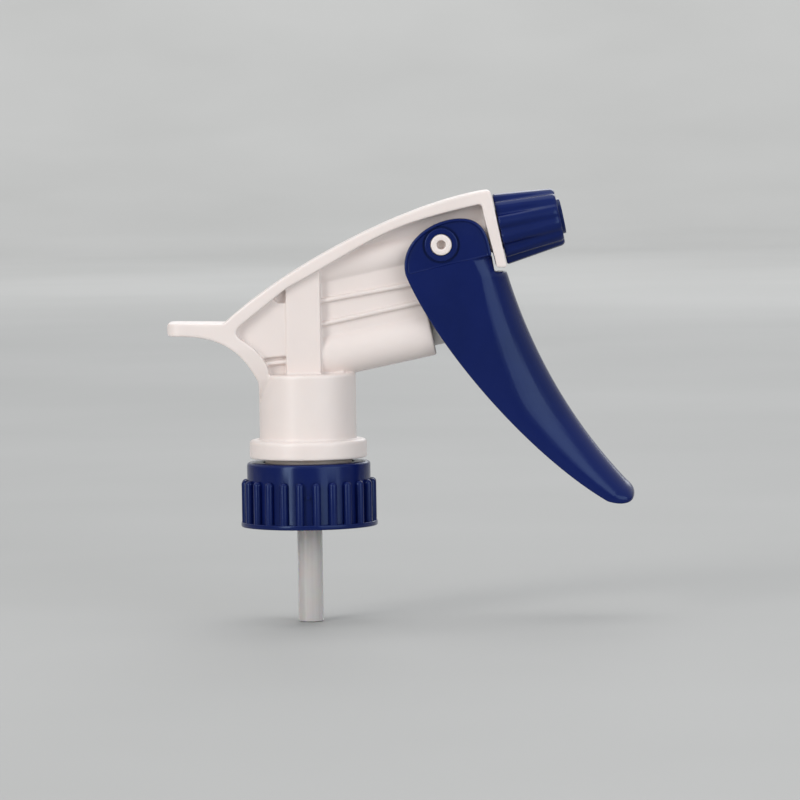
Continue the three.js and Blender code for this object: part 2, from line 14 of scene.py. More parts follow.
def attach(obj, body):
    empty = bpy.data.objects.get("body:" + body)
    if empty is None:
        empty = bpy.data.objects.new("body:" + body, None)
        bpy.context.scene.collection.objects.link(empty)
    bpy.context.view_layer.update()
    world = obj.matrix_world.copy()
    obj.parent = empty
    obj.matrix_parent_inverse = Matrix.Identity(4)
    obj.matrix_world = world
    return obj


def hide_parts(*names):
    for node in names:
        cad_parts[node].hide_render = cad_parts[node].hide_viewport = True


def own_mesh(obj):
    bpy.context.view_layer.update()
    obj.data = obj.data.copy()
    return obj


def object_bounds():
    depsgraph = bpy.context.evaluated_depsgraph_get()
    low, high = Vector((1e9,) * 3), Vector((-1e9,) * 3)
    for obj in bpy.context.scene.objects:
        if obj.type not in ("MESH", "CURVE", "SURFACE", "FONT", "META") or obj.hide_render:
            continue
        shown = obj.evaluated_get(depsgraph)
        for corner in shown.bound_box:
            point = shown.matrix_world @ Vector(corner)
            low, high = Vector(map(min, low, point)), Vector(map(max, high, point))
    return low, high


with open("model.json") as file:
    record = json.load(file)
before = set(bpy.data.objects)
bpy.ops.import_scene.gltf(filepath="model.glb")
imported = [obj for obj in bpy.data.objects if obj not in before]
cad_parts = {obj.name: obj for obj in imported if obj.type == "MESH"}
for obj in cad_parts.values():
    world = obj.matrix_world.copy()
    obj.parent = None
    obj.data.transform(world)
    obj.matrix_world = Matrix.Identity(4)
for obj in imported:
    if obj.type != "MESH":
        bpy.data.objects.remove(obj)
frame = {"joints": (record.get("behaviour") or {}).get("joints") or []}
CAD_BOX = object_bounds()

MM = 0.001

# ---------------------------------------------------------------- the frame's places, in mm

JOINTS = {joint["name"]: joint for joint in frame["joints"]}
PIVOT = Vector(JOINTS["trigger_pull"]["pos_m"]) / MM
NOZZLE_REAR = Vector(JOINTS["nozzle_turn"]["pos_m"]) / MM
FORWARD = Vector(JOINTS["nozzle_turn"]["axis"]).normalized()
TILT = math.atan2(FORWARD.z, FORWARD.x)
PUMP_FACE = Vector((30.64, 0, 34.41))  # centre of the barrel's open end
FLOOR_Z = CAD_BOX[0].z / MM

# ---------------------------------------------------------------- outlines, as in the CAD

ARCH_OUTER = [(-20.0, 37.3), (-4.7, 51.0), (24.7, 66.0), (44.7, 68.8)]
ARCH_INNER = [(-4.3, 46.0), (17.2, 57.2), (17.3, 60.1), (42.4, 65.4)]
HORN_UNDER = [(-28.0, 34.3), (-19.9, 33.6), (-15.4, 30.1), (-11.8, 22.9)]
HEAD_REAR = [(24.4, 48.5), (22.7, 55.6), (29.5, 61.6), (37.1, 62.1)]
HEAD_FRONT = [(37.1, 62.1), (44.0, 62.5), (44.6, 57.0), (45.35, 53.3)]
RECESS_REAR = [(25.05, 48.65), (23.3, 55.8), (30.8, 61.2), (37.1, 61.45)]
RECESS_FRONT = [(37.1, 61.45), (42.95, 61.75), (43.85, 57.9), (44.7, 53.05)]
LEVER_TOP = [(24.4, 48.55), (47.2, 53.65)]
LEVER_FRONT = [(49.4, 48.0), (54.95, 29.2), (64.5, 11.75), (77.8, -2.6)]
LEVER_TIP = [(77.8, -2.6), (81.4, -5.4), (79.5, -9.5), (72.7, -7.3)]
LEVER_REAR = [(24.9, 47.3), (33.3, 28.2), (55.3, 3.2), (72.7, -7.3)]


def bezier_point(curve, t):
    a, b, c, d = (Vector(p) for p in curve)
    u = 1 - t
    return a * u**3 + b * (3 * u * u * t) + c * (3 * u * t * t) + d * t**3


def along(curve, steps):
    """Points of a Bezier curve from its start to its end."""
    return [tuple(bezier_point(curve, i / steps)) for i in range(steps + 1)]


def back(curve, steps):
    return along(curve, steps)[::-1]


def rounded(points, radius, steps=4):
    """The closed outline with each corner turned into a curve. radius is a number or one per point."""
    count = len(points)
    radii = [radius] * count if isinstance(radius, (int, float)) else radius
    made = []
    for i, p in enumerate(points):
        here, before, after = Vector(p), Vector(points[i - 1]), Vector(points[(i + 1) % count])
        u, v = (before - here), (after - here)
        reach = min(radii[i], u.length * 0.45, v.length * 0.45)
        if reach < 1e-4:
            made.append(tuple(here))
            continue
        a, b = here + u.normalized() * reach, here + v.normalized() * reach
        for k in range(steps + 1):
            t = k / steps
            made.append(tuple(a * (1 - t) ** 2 + here * (2 * t * (1 - t)) + b * t * t))
    return made


# ---------------------------------------------------------------- mesh building


def mesh_object(name, points, faces):
    """A mesh object from points in mm."""
    mesh = bpy.data.meshes.new(name)
    mesh.from_pydata([tuple(Vector(p) * MM) for p in points], [], faces)
    mesh.validate()
    work = bmesh.new()
    work.from_mesh(mesh)
    bmesh.ops.remove_doubles(work, verts=work.verts, dist=1e-7)
    bmesh.ops.recalc_face_normals(work, faces=work.faces)
    work.to_mesh(mesh)
    work.free()
    made = bpy.data.objects.new(name, mesh)
    bpy.context.scene.collection.objects.link(made)
    return made


def apply_modifiers(obj):
    """Bakes the modifiers into the mesh."""
    graph = bpy.context.evaluated_depsgraph_get()
    graph.update()
    mesh = bpy.data.meshes.new_from_object(obj.evaluated_get(graph))
    obj.modifiers.clear()
    obj.data = mesh
    return obj


def bevelled(obj, width, segments=3, angle=35):
    """Rounds the edges sharper than angle degrees. width is in mm."""
    bevel = obj.modifiers.new("edge", "BEVEL")
    bevel.width = width * MM
    bevel.segments = segments
    bevel.limit_method = "ANGLE"
    bevel.angle_limit = math.radians(angle)
    return apply_modifiers(obj)


def plate(name, outline, low, high, edge=0.0, segments=3):
    """An outline in X-Z, from low to high across Y, with its edges rounded."""
    count = len(outline)
    points = [(x, low, z) for x, z in outline] + [(x, high, z) for x, z in outline]
    faces = [tuple(range(count)), tuple(range(2 * count - 1, count - 1, -1))]
    faces += [(i, (i + 1) % count, (i + 1) % count + count, i + count) for i in range(count)]
    made = mesh_object(name, points, faces)
    return bevelled(made, edge, segments) if edge else made


def slab(name, outline, half, edge=0.0, segments=3):
    return plate(name, outline, -half, half, edge, segments)


def turned(name, profile, sides=96, close=True):
    """A part turned about +Z from a profile of radius and height. close joins its end to its start."""
    points, faces = [], []
    for i in range(sides):
        angle = 2 * math.pi * i / sides
        points += [(r * math.cos(angle), r * math.sin(angle), z) for r, z in profile]
    count = len(profile)
    spans = count if close else count - 1
    for i in range(sides):
        a, b = i * count, ((i + 1) % sides) * count
        for k in range(spans):
            n = (k + 1) % count
            faces.append((a + k, b + k, b + n, a + n))
    return mesh_object(name, points, faces)


def lofted(name, rings):
    """A closed skin through equal rings of points."""
    sides = len(rings[0])
    points = [p for ring in rings for p in ring]
    faces = [tuple(range(sides))[::-1], tuple(range((len(rings) - 1) * sides, len(rings) * sides))]
    for k in range(len(rings) - 1):
        for i in range(sides):
            a, b = k * sides + i, k * sides + (i + 1) % sides
            faces.append((a, b, b + sides, a + sides))
    return mesh_object(name, points, faces)


def moved(obj, matrix):
    obj.data.transform(matrix)
    return obj


def on_axis(obj, start):
    """From +Z onto the pump's or nozzle's tilted axis."""
    place = Matrix.Translation(Vector(start) * MM) @ Matrix.Rotation(math.pi / 2 - TILT, 4, "Y")
    return moved(obj, place)


def on_pivot(obj):
    """From +Z onto the trigger's swing axis."""
    return moved(obj, Matrix.Translation(PIVOT * MM) @ Matrix.Rotation(math.pi / 2, 4, "X"))


def boolean(whole, others, operation):
    """Joins or cuts closed meshes one by one, and removes the ones used up."""
    for other in others:
        step = whole.modifiers.new("step", "BOOLEAN")
        step.operation = operation
        step.solver = "MANIFOLD"
        step.object = other
        apply_modifiers(whole)
        bpy.data.objects.remove(other)
    return whole


def joined(whole, *others):
    return boolean(whole, others, "UNION")


def cut(whole, *tools):
    return boolean(whole, tools, "DIFFERENCE")


def trimmed(whole, *bounds):
    return boolean(whole, bounds, "INTERSECT")


def moulded(obj, voxel, smooth):
    """Melts the joined solids into one skin with small fillets in its corners. voxel is in mm."""
    remesh = obj.modifiers.new("skin", "REMESH")
    remesh.mode = "VOXEL"
    remesh.voxel_size = voxel * MM
    remesh.adaptivity = 0.0
    ease = obj.modifiers.new("ease", "SMOOTH")
    ease.factor = 0.5
    ease.iterations = smooth
    return apply_modifiers(obj)


def smooth_by_angle(obj, angle=35):
    """Smooth shading, with edges sharper than angle kept crisp."""
    work = bmesh.new()
    work.from_mesh(obj.data)
    limit = math.radians(angle)
    for face in work.faces:
        face.smooth = True
    for edge in work.edges:
        edge.smooth = len(edge.link_faces) != 2 or edge.calc_face_angle(0) < limit
    work.to_mesh(obj.data)
    work.free()
    return obj


def finish_piece(obj, body, node, material, angle=35):
    obj.data.materials.clear()
    obj.data.materials.append(material)
    smooth_by_angle(obj, angle)
    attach(obj, body)
    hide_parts(node)
    return obj


# ---------------------------------------------------------------- materials


def new_material(name):
    material = bpy.data.materials.new(name)
    material.use_nodes = True
    nodes, links = material.node_tree.nodes, material.node_tree.links
    return material, nodes, links, nodes["Principled BSDF"]


def noise(nodes, links, scale, detail=3.0, distortion=0.0):
    """A noise texture fixed to the object."""
    coordinates = nodes.new("ShaderNodeTexCoord")
    texture = nodes.new("ShaderNodeTexNoise")
    texture.inputs["Scale"].default_value = scale
    texture.inputs["Detail"].default_value = detail
    texture.inputs["Roughness"].default_value = 0.55
    texture.inputs["Distortion"].default_value = distortion
    links.new(coordinates.outputs["Object"], texture.inputs["Vector"])
    return texture


def ramp(nodes, links, source, low, high):
    """Colours from low to high over the middle of a 0 to 1 value."""
    made = nodes.new("ShaderNodeValToRGB")
    made.color_ramp.elements[0].position = 0.35
    made.color_ramp.elements[1].position = 0.65
    made.color_ramp.elements[0].color = (*low, 1)
    made.color_ramp.elements[1].color = (*high, 1)
    links.new(source, made.inputs["Fac"])
    return made


def spread(nodes, links, source, low, high):
    """Maps the middle of a 0 to 1 value onto low to high."""
    made = nodes.new("ShaderNodeMapRange")
    made.inputs["From Min"].default_value = 0.3
    made.inputs["From Max"].default_value = 0.7
    made.inputs["To Min"].default_value = low
    made.inputs["To Max"].default_value = high
    links.new(source, made.inputs["Value"])
    return made


def bump_from(nodes, links, shader, source, distance, strength, under=None):
    """Surface relief from a height value, on top of the relief under it."""
    bump = nodes.new("ShaderNodeBump")
    bump.inputs["Strength"].default_value = strength
    bump.inputs["Distance"].default_value = distance
    links.new(source, bump.inputs["Height"])
    if under is not None:
        links.new(under.outputs["Normal"], bump.inputs["Normal"])
    links.new(bump.outputs["Normal"], shader.inputs["Normal"])
    return bump


def moulded_plastic(name, low, high, rough, subsurface, grain=0.000004, level=0.5, tint=(1, 1, 1)):
    """Moulded plastic: slight flow marks in the colour, uneven gloss and a fine skin texture."""
    material, nodes, links, shader = new_material(name)
    flow = noise(nodes, links, 45, detail=4, distortion=0.6)
    colour = ramp(nodes, links, flow.outputs["Fac"], low, high)
    links.new(colour.outputs["Color"], shader.inputs["Base Color"])
    haze = noise(nodes, links, 160, detail=5)
    gloss = spread(nodes, links, haze.outputs["Fac"], *rough)
    links.new(gloss.outputs["Result"], shader.inputs["Roughness"])
    shader.inputs["Subsurface Weight"].default_value = subsurface
    shader.inputs["Subsurface Radius"].default_value = (1.0, 0.75, 0.6)
    shader.inputs["Subsurface Scale"].default_value = 0.0015
    shader.inputs["IOR"].default_value = 1.49
    shader.inputs["Specular IOR Level"].default_value = level
    shader.inputs["Specular Tint"].default_value = (*tint, 1)
    waves = noise(nodes, links, 420, detail=2)
    soft = bump_from(nodes, links, shader, waves.outputs["Fac"], grain * 4, 0.6)
    skin = noise(nodes, links, 4200, detail=2)
    bump_from(nodes, links, shader, skin.outputs["Fac"], grain, 0.6, under=soft)
    return material


def white_plastic():
    return moulded_plastic("white_plastic", (0.78, 0.70, 0.665), (0.81, 0.73, 0.695), (0.28, 0.40), 0.10)


def natural_plastic():
    return moulded_plastic("natural_plastic", (0.66, 0.56, 0.50), (0.72, 0.62, 0.56), (0.40, 0.55), 0.25)


def piston_plastic():
    return moulded_plastic("piston_plastic", (0.74, 0.71, 0.68), (0.79, 0.76, 0.73), (0.35, 0.48), 0.15)


def blue_plastic(name, lift=1.0):
    low = (0.0028 * lift, 0.0075 * lift, 0.067 * lift)
    high = (0.0038 * lift, 0.0092 * lift, 0.080 * lift)
    return moulded_plastic(name, low, high, (0.17, 0.25), 0.0,
                           grain=0.000002, level=0.30, tint=(0.54, 0.74, 1.0))


def foam_plastic():
    material, nodes, links, shader = new_material("gasket_foam")
    cells = noise(nodes, links, 2600, detail=3)
    colour = ramp(nodes, links, cells.outputs["Fac"], (0.70, 0.69, 0.66), (0.80, 0.79, 0.76))
    links.new(colour.outputs["Color"], shader.inputs["Base Color"])
    shader.inputs["Roughness"].default_value = 0.75
    bump_from(nodes, links, shader, cells.outputs["Fac"], 0.00003, 0.7)
    return material


def tube_plastic():
    """Milky translucent tube with faint lengthwise drawing lines."""
    material, nodes, links, shader = new_material("tube_plastic")
    coordinates = nodes.new("ShaderNodeTexCoord")
    stretch = nodes.new("ShaderNodeMapping")
    stretch.inputs["Scale"].default_value = (1, 1, 0.03)
    links.new(coordinates.outputs["Object"], stretch.inputs["Vector"])
    lines = nodes.new("ShaderNodeTexNoise")
    lines.inputs["Scale"].default_value = 1500
    lines.inputs["Detail"].default_value = 3
    links.new(stretch.outputs["Vector"], lines.inputs["Vector"])
    colour = ramp(nodes, links, lines.outputs["Fac"], (0.80, 0.77, 0.755), (0.88, 0.85, 0.835))
    links.new(colour.outputs["Color"], shader.inputs["Base Color"])
    gloss = spread(nodes, links, lines.outputs["Fac"], 0.28, 0.42)
    links.new(gloss.outputs["Result"], shader.inputs["Roughness"])
    shader.inputs["Transmission Weight"].default_value = 0.55
    shader.inputs["Subsurface Weight"].default_value = 0.3
    shader.inputs["Subsurface Scale"].default_value = 0.001
    shader.inputs["IOR"].default_value = 1.5
    bump_from(nodes, links, shader, lines.outputs["Fac"], 0.000006, 0.5)
    return material


def rubber():
    material, nodes, links, shader = new_material("seal_rubber")
    dust = noise(nodes, links, 900, detail=4)
    colour = ramp(nodes, links, dust.outputs["Fac"], (0.018, 0.018, 0.019), (0.040, 0.040, 0.041))
    links.new(colour.outputs["Color"], shader.inputs["Base Color"])
    gloss = spread(nodes, links, dust.outputs["Fac"], 0.45, 0.65)
    links.new(gloss.outputs["Result"], shader.inputs["Roughness"])
    bump_from(nodes, links, shader, dust.outputs["Fac"], 0.00001, 0.5)
    return material


def steel(name, rough):
    material, nodes, links, shader = new_material(name)
    wear = noise(nodes, links, 700, detail=5)
    colour = ramp(nodes, links, wear.outputs["Fac"], (0.52, 0.52, 0.53), (0.66, 0.66, 0.67))
    links.new(colour.outputs["Color"], shader.inputs["Base Color"])
    gloss = spread(nodes, links, wear.outputs["Fac"], *rough)
    links.new(gloss.outputs["Result"], shader.inputs["Roughness"])
    shader.inputs["Metallic"].default_value = 1.0
    bump_from(nodes, links, shader, wear.outputs["Fac"], 0.000003, 0.4)
    return material


WHITE = white_plastic()
NATURAL = natural_plastic()
PISTON_WHITE = piston_plastic()
BLUE_TRIGGER = blue_plastic("blue_trigger", 1.1)
BLUE_NOZZLE = blue_plastic("blue_nozzle", 1.15)
BLUE_CLOSURE = blue_plastic("blue_closure")
FOAM = foam_plastic()
TUBE = tube_plastic()
RUBBER = rubber()
BALL_STEEL = steel("ball_steel", (0.08, 0.16))
WIRE_STEEL = steel("spring_steel", (0.22, 0.36))

# ---------------------------------------------------------------- sprayer body

BODY_HALF = 8.5
WEB_HALF = 3.8
RIB_HALF, RIB_THICK = 4.9, 1.0
PANEL_HALF, PANEL_BACK_HALF = 6.0, 4.6
COLUMN_REAR, COLUMN_FRONT, COLUMN_HALF = -4.9, 3.5, 6.6
NECK_R, NECK_BORE_R, NECK_TOP, NECK_ROOF = 11.85, 10.9, 24.7, 22.3
COLLAR_R, COLLAR_BOTTOM, COLLAR_TOP = 14.35, 4.1, 8.6
PIPE_R, PIPE_BORE_R, PIPE_BOTTOM = 5.0, 3.7, 12.0
RISER_R, RISER_SHOULDER, RISER_TOP_R = 2.9, 38.2, 1.9
BARREL_R, BARREL_BORE_R, BARREL_DEPTH, BARREL_LENGTH = 5.8, 4.8, 25.6, 29.4
TUBE_R, TUBE_BORE_R, SPUD_R, SPUD_LENGTH = 5.0, 1.5, 4.7, 9.0
TRUNNION_R, TRUNNION_HOLE_R, TRUNNION_END, PIVOT_BOSS_R, PIVOT_BOSS_END = 2.6, 1.1, 9.0, 3.6, 6.3


def rod(name, radius, low, high, edge=0.0, sides=96):
    """A round bar about +Z. edge rounds the rims of its two ends."""
    profile = [(0, low), (radius, low), (radius, high), (0, high)]
    if edge:
        profile = rounded(profile, [0, edge, edge, 0])
    return turned(name, profile, sides, close=False)


def arch_shell():
    """The horn, arch, front plate and rear flange, which run on as one band."""
    outline = [(-33.8, 34.8), (-33.5, 34.5)] + along(HORN_UNDER, 20)
    outline += [(-11.7, 18.0), (-9.2, 18.0), (-9.2, 25.7)]
    outline += along([(-9.2, 25.7), (-10.2, 29.2), (-13.6, 32.2), (-15.9, 33.5)], 8)[1:]
    outline += along([(-15.9, 33.5), (-17.4, 34.5), (-17.2, 36.0), (-15.6, 37.2)], 8)[1:]
    outline += along([(-15.6, 37.2), (-12.0, 40.0), (-8.0, 43.2), (-4.3, 46.0)], 8)[1:-1]
    outline += along(ARCH_INNER, 30)
    outline += along([(42.4, 65.4), (43.2, 65.6), (43.3, 64.3), (43.5, 62.9)], 5)[1:]
    outline += [(46.2, 52.0), (46.6, 50.1), (48.8, 50.0), (49.0, 50.6)]
    outline += along([(45.7, 66.8), (45.4, 68.4), (45.3, 68.9), (44.2, 68.7)], 4)
    outline += back(ARCH_OUTER, 36)[1:]
    outline += [(-33.4, 37.6), (-33.8, 37.2)]
    return slab("arch_shell", outline, BODY_HALF, edge=0.35)


def horn_plan():
    """The body seen from above: straight sides and a horn with rounded corners."""
    corner, rear = 3.4, -33.8
    outline = [(52, -BODY_HALF), (52, BODY_HALF)]
    for centre, start in ((BODY_HALF - corner, 90), (corner - BODY_HALF, 180)):
        for k in range(13):
            angle = math.radians(start + 90 * k / 12)
            outline.append((rear + corner + corner * math.cos(angle), centre + corner * math.sin(angle)))
    tool = slab("horn_plan", outline, 40)
    return moved(tool, Matrix.Translation((0, 0, 0.045)) @ Matrix.Rotation(-math.pi / 2, 4, "X"))


def rear_taper():
    """The body seen from behind: the flange under the horn narrows down to the neck."""
    side = along([(3.6, 18.6), (7.2, 21.5), (7.8, 25.5), (BODY_HALF, 31.0)], 12)
    side = [(2.5, 16.0)] + side + [(BODY_HALF, 80.0)]
    outline = side + [(-y, z) for y, z in side[::-1]]
    return moved(slab("rear_taper", outline, 95), Matrix.Rotation(math.pi / 2, 4, "Z"))


def under_arch():
    """Everything under the arch's outer line, to trim what stands up to it."""
    outline = [(-19.6, 10), (60, 10), (60, 67.8)] + [(x, z - 0.7) for x, z in back(ARCH_OUTER, 36)]
    return slab("under_arch", outline, 12)


def web_plate():
    """The thin wall in the middle, from the rear flange to behind the trigger's head."""
    top = [(x, z - 1.4) for x, z in along(ARCH_OUTER, 36)]
    outline = [(-10.4, 21), (-14.6, 31.3), (-18.0, 36.0)] + top
    outline += [(44.7, 62.0), (45.4, 58.0), (32.0, 55.0), (29.0, 36.0), (9.0, 29.0), (9.0, 21.0)]
    return slab("web_plate", outline, WEB_HALF)


def rear_panel():
    """The raised panel between the rear flange, the arch and the column, and the wall behind it."""
    edge = [(-13.8, 31.2), (-17.0, 34.0), (-17.0, 36.5)]
    panel = [(0, 29.6), (-11.5, 28.6)] + edge + [(-8.6, 43.6), (-6.8, 42.2), (0, 42.2)]
    wall = [(0, 24), (-10.6, 24), (-14, 31)] + edge[1:] + [(-8, 44.8), (0, 48)]
    return joined(slab("rear_panel", panel, PANEL_HALF, edge=0.3), slab("rear_wall", wall, PANEL_BACK_HALF))


def sloped_rib(x0, z0, x1, z1, reach=RIB_HALF):
    """A stiffening rib on both sides of the web."""
    half = RIB_THICK / 2
    outline = [(x0, z0 - half), (x1, z1 - half), (x1, z1 + half), (x0, z0 + half)]
    return slab("rib", outline, reach, edge=0.2, segments=2)


def column():
    """The upright pillar over the neck, which holds the riser."""
    low, high = NECK_TOP - 1, 56
    outline = [(COLUMN_REAR, low), (COLUMN_FRONT, low), (COLUMN_FRONT, high), (COLUMN_REAR, high)]
    return slab("column", outline, COLUMN_HALF, edge=0.3)


def neck_cup():
    """The neck with its collar ring, still solid inside."""
    profile = [
        (0, COLLAR_BOTTOM), (COLLAR_R, COLLAR_BOTTOM), (COLLAR_R, COLLAR_TOP), (NECK_R, COLLAR_TOP),
        (NECK_R, NECK_TOP), (0, NECK_TOP),
    ]
    return turned("neck_cup", rounded(profile, [0, 0.4, 1.0, 0.35, 0.8, 0]), 128, close=False)


def ring(name, bore, radius, low, high, edge=0.0, sides=96):
    profile = [(bore, low), (radius, low), (radius, high), (bore, high)]
    return turned(name, rounded(profile, edge) if edge else profile, sides)


def body_bores():
    """The neck's hollow, the riser, the barrel, the discharge tube and the trunnions' blind holes."""
    low = COLLAR_BOTTOM - 1
    tools = [
        rod("bore", NECK_BORE_R, low, PIPE_BOTTOM),
        ring("bore", PIPE_R, NECK_BORE_R, low, NECK_ROOF),
        rod("bore", PIPE_BORE_R, low, NECK_ROOF),
        rod("bore", RISER_R, NECK_ROOF - 1, RISER_SHOULDER),
        rod("bore", RISER_TOP_R, RISER_SHOULDER - 1, 49.4),
        on_axis(rod("bore", BARREL_BORE_R, -BARREL_DEPTH, 1), PUMP_FACE),
        on_axis(rod("bore", 1.0, -31, 0.5 - BARREL_DEPTH, sides=24), PUMP_FACE),
        on_axis(rod("bore", TUBE_BORE_R, -49.2, SPUD_LENGTH + 1), NOZZLE_REAR),
        on_axis(rod("bore", 2.6, 3.5, SPUD_LENGTH + 1), NOZZLE_REAR),
        on_axis(ring("bore", 3.5, 6.0, 6.4, 8.2), NOZZLE_REAR),
    ]
    for end in (-1, 1):
        reach = sorted((end * (TRUNNION_END - 2.6), end * (TRUNNION_END + 1)))
        tools.append(on_pivot(rod("bore", TRUNNION_HOLE_R, *reach)))
    return tools


def sprayer_body():
    """The white moulding, cut from solids and melted into one skin."""
    whole = trimmed(arch_shell(), horn_plan(), rear_taper())
    discharge = on_axis(rod("discharge", TUBE_R, -51, -2, edge=2.0), NOZZLE_REAR)
    inner = joined(web_plate(), rear_panel(), column(), discharge,
                   sloped_rib(0, 41.8, 29.5, 46.8),
                   sloped_rib(0, 36.0, 29.0, 42.0),
                   sloped_rib(-11.5, 27.2, 0, 28.4, PANEL_HALF))
    whole = joined(whole, neck_cup(), trimmed(inner, under_arch()),
                   on_axis(rod("barrel", BARREL_R, -BARREL_LENGTH, 0, edge=0.5), PUMP_FACE),
                   on_axis(rod("spud", SPUD_R, -3, SPUD_LENGTH, edge=0.4), NOZZLE_REAR),
                   on_pivot(rod("trunnion", TRUNNION_R, -TRUNNION_END, TRUNNION_END, edge=0.3)),
                   on_pivot(rod("pivot_boss", PIVOT_BOSS_R, -PIVOT_BOSS_END, PIVOT_BOSS_END, edge=0.4)))
    whole = cut(whole, *body_bores())
    whole.name = "body_moulding"
    moulded(whole, 0.26, 3)
    return finish_piece(whole, "body", "sprayer_body", WHITE)


# ---------------------------------------------------------------- trigger

TRIGGER_HALF = 8.75
CHANNEL_HALF = 6.65
NOSE_DEPTH_TOP, NOSE_DEPTH_LOW, WALL = 7.6, 12.0, 2.2
TIP_STEPS, TIP_DRAW_IN, TIP_END = 14, 4.2, 0.46  # the tip closes just short of its curve's middle
TRIGGER_BOSS_R, TRIGGER_HOLE_R, GROOVE_WIDE, GROOVE_FLOOR = 4.05, 2.7, 0.45, 7.9
RECESS_DEEP = 0.45
PAD_INNER, PAD_OUTER, PAD_THICK, PAD_LEAD = 17.5, 24.5, 1.8, math.radians(15)


def lever_section(rear, front, half, nose_depth):
    """The lever's cross-section between its rear and front edges: flat sides and a round nose."""
    arc = 28
    length = (front - rear).length
    nose = min(nose_depth, length * 0.82)
    flat = [(0.0, -half), (0.0, half)]
    for i in range(arc + 1):
        angle = math.pi * i / arc
        flat.append((length - nose + nose * math.sin(angle), half * math.cos(angle)))
    points = []
    for s, y in flat:
        p = rear.lerp(front, s / length)
        points.append((p.x, y, p.y))
    return points


def lever_stations():
    """Rear and front points and nose depths of the lever's cross-sections, from the head to the tip."""
    steps = 36
    stations = [(*(Vector(p) for p in LEVER_TOP), NOSE_DEPTH_TOP)]
    for i in range(steps + 1):
        t = i / steps
        depth = NOSE_DEPTH_TOP + (NOSE_DEPTH_LOW - NOSE_DEPTH_TOP) * min(1.0, t * 2)
        stations.append((bezier_point(LEVER_REAR, t), bezier_point(LEVER_FRONT, t), depth))
    return stations


def lever():
    """The finger lever, whose corners draw in at its rounded tip."""
    rings = [lever_section(rear, front, TRIGGER_HALF, depth) for rear, front, depth in lever_stations()]
    for i in range(1, TIP_STEPS + 1):
        t = i / TIP_STEPS
        half = TRIGGER_HALF - TIP_DRAW_IN * (1 - math.sqrt(max(0.0, 1 - t * t)))
        rear, front = bezier_point(LEVER_TIP, 1 - t * TIP_END), bezier_point(LEVER_TIP, t * TIP_END)
        rings.append(lever_section(rear, front, half, NOSE_DEPTH_LOW))
    return lofted("lever", rings)


def plate_gap():
    """Room for the body's front plate at the lever's top front corner."""
    return slab("plate_gap", [(46.1, 48.9), (45.35, 53.3), (45.0, 56), (60, 56), (60, 48.9)], 12)


def trigger_head():
    outline = along(HEAD_REAR, 24) + along(HEAD_FRONT, 24)[1:] + [(45.4, 53.0), (24.5, 48.2)]
    return slab("head", outline, TRIGGER_HALF, edge=0.3)


def channel():
    """The hollow behind the nose, open along the rear and all the way through above the lever."""
    rings = []
    for k, (rear, front, depth) in enumerate(lever_stations()[:-3]):
        ahead = (front - rear).normalized()
        inner = front - ahead * WALL if k else front  # open behind the plate
        rings.append(lever_section(rear - ahead * 6, inner, CHANNEL_HALF, depth - WALL))
    above = slab("above", [(18, 66), (52, 66), (52, 54.4), (18, 46.8)], CHANNEL_HALF)
    return joined(lofted("channel", rings), above)


def head_recess(side):
    """The shallow recess in one cheek, inside the rim at the head's edge."""
    outline = along(RECESS_REAR, 20) + along(RECESS_FRONT, 20)[1:]
    low, high = sorted((side * (TRIGGER_HALF - RECESS_DEEP), side * (TRIGGER_HALF + 1)))
    return plate("recess", outline, low, high, edge=0.42, segments=4)  # a fillet around its floor


def push_pad():
    """The pad that pushes the piston, and the rib that ties it to the front wall."""
    down = Vector((math.sin(TILT), -math.cos(TILT)))
    ahead = Vector((math.cos(TILT), math.sin(TILT)))
    radial = down * math.cos(PAD_LEAD) + ahead * math.sin(PAD_LEAD)
    behind = Vector((-radial.y, radial.x))
    start = Vector((PIVOT.x, PIVOT.z))

    def at(r, d):
        return tuple(start + radial * r + behind * d)

    pad = [at(PAD_INNER, 0), at(PAD_OUTER, 0), at(PAD_OUTER, PAD_THICK), at(PAD_INNER, PAD_THICK)]
    tie = [at(PAD_INNER + 1, 0.9), at(PAD_OUTER - 1, 0.9), at(PAD_OUTER - 1, 9.0), at(PAD_INNER + 1, 9.0)]
    return slab("pad", pad, CHANNEL_HALF + 0.5), slab("tie", tie, 0.8)


def pivot_bosses():
    """The raised ring on each cheek, its groove and the trunnions' hole."""
    rings = [on_pivot(rod("boss", TRIGGER_BOSS_R, 7.2, TRUNNION_END, edge=0.35)),
             on_pivot(rod("boss", TRIGGER_BOSS_R, -TRUNNION_END, -7.2, edge=0.35))]
    cuts = [on_pivot(rod("hole", TRIGGER_HOLE_R, -12, 12)),
            on_pivot(ring("groove", TRIGGER_BOSS_R, TRIGGER_BOSS_R + GROOVE_WIDE, GROOVE_FLOOR, 10)),
            on_pivot(ring("groove", TRIGGER_BOSS_R, TRIGGER_BOSS_R + GROOVE_WIDE, -10, -GROOVE_FLOOR))]
    return rings, cuts


def trigger():
    """The blue trigger: melted into one skin first, so that the head's fine lines stay crisp."""
    whole = joined(trigger_head(), cut(lever(), plate_gap()))
    whole = joined(cut(whole, channel()), *push_pad())
    moulded(whole, 0.24, 3)
    rings, cuts = pivot_bosses()
    whole = cut(joined(cut(whole, head_recess(1), head_recess(-1)), *rings), *cuts)
    whole.name = "trigger_lever"
    return finish_piece(whole, "trigger", "trigger", BLUE_TRIGGER)


# ---------------------------------------------------------------- closure and what it holds

CLOSURE_BOTTOM, CLOSURE_TOP, CLOSURE_WEB = -12.6, 3.1, 1.9
CLOSURE_WALL_R, CLOSURE_RIB_R, CLOSURE_BORE_R, CLOSURE_HOLE_R = 15.1, 16.7, 14.0, 11.2
RIB_COUNT, RIB_RADIUS, RIB_TOP, BAND_TOP = 24, 1.05, -1.1, -11.4


